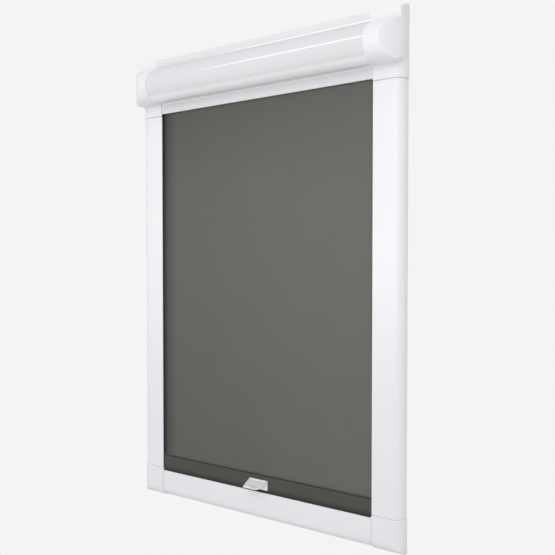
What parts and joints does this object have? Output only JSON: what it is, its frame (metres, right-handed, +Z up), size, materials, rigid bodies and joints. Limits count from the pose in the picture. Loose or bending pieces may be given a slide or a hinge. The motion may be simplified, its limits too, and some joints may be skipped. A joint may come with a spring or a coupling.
{
  "type": "roller blind",
  "caption": "Framed cassette roller blind: a head with a domed cover, rails and corner pieces round one sheet of fabric, a weighted bottom bar with a pull tab, and a sprung roller.",
  "frame": {"origin": "a point on the flat back face of the head, midway across it and level with the roller axis, in the plane that lies against the window sash", "axes": "+Y towards the window glass, +Z up, +X to the right as seen from the room"},
  "size_m": [0.336, 0.0414, 0.5352],
  "materials": {
    "white_coat": "satin white powder coat",
    "white_moulding": "fine satin moulded plastic",
    "fabric": "dark grey blackout weave",
    "hem_fabric": "dark grey weave folded round the bar",
    "aluminium": "mill finish",
    "tube_metal": "drawn tube",
    "plated_steel": "zinc plated",
    "spring_wire": "oiled spring wire",
    "nylon": "natural nylon",
    "pile": "short pile",
    "felt": "pressed felt",
    "tab_plastic": "slightly milky gloss"
  },
  "bodies": {
    "frame": {"bottom_rail": "white_coat", "cassette_back": "white_coat", "cassette_cover": "white_coat", "exit_brush": "pile", "idle_bush": "nylon", "left_bracket_lower_screw": "plated_steel", "left_bracket_upper_screw": "plated_steel", "left_cap_leg_screw": "plated_steel", "left_corner_bottom_screw": "plated_steel", "left_corner_piece": "white_moulding", "left_corner_side_screw": "plated_steel", "left_end_cap": "white_moulding", "left_lower_window_clip": "plated_steel", "left_pile_back": "pile", "left_pile_front": "pile", "left_roller_bracket": "plated_steel", "left_side_rail": "white_coat", "left_upper_window_clip": "plated_steel", "right_bracket_lower_screw": "plated_steel", "right_bracket_upper_screw": "plated_steel", "right_cap_leg_screw": "plated_steel", "right_corner_bottom_screw": "plated_steel", "right_corner_piece": "white_moulding", "right_corner_side_screw": "plated_steel", "right_end_cap": "white_moulding", "right_lower_window_clip": "plated_steel", "right_pile_back": "pile", "right_pile_front": "pile", "right_roller_bracket": "plated_steel", "right_side_rail": "white_coat", "right_upper_window_clip": "plated_steel", "shaft_collar": "plated_steel", "spring_shaft": "plated_steel", "torsion_spring": "spring_wire"},
    "bar": {"blind_fabric": "fabric", "bottom_bar": "aluminium", "hem_sleeve": "hem_fabric", "left_bar_guide": "nylon", "left_brake_felt": "felt", "pull_tab": "tab_plastic", "right_bar_guide": "nylon", "right_brake_felt": "felt"},
    "roller": {"fabric_roll": "fabric", "idle_plug": "nylon", "roller_tube": "tube_metal", "spring_plug": "nylon"}
  },
  "joints": [
    {"name": "bar_slide", "type": "slide", "parent": "frame", "child": "bar", "axis": [0, 0, 1], "range_m": [0, 0.41], "deforming": ["blind_fabric"]},
    {"name": "roller_spin", "type": "hinge", "parent": "frame", "child": "roller", "pos_m": [0, -0.021, 0], "axis": [1, 0, 0], "range_deg": [0, 2136]}
  ],
  "couplings": [
    {"joint": "roller_spin", "follows": "bar_slide", "rad_per_m": 90.909}
  ]
}
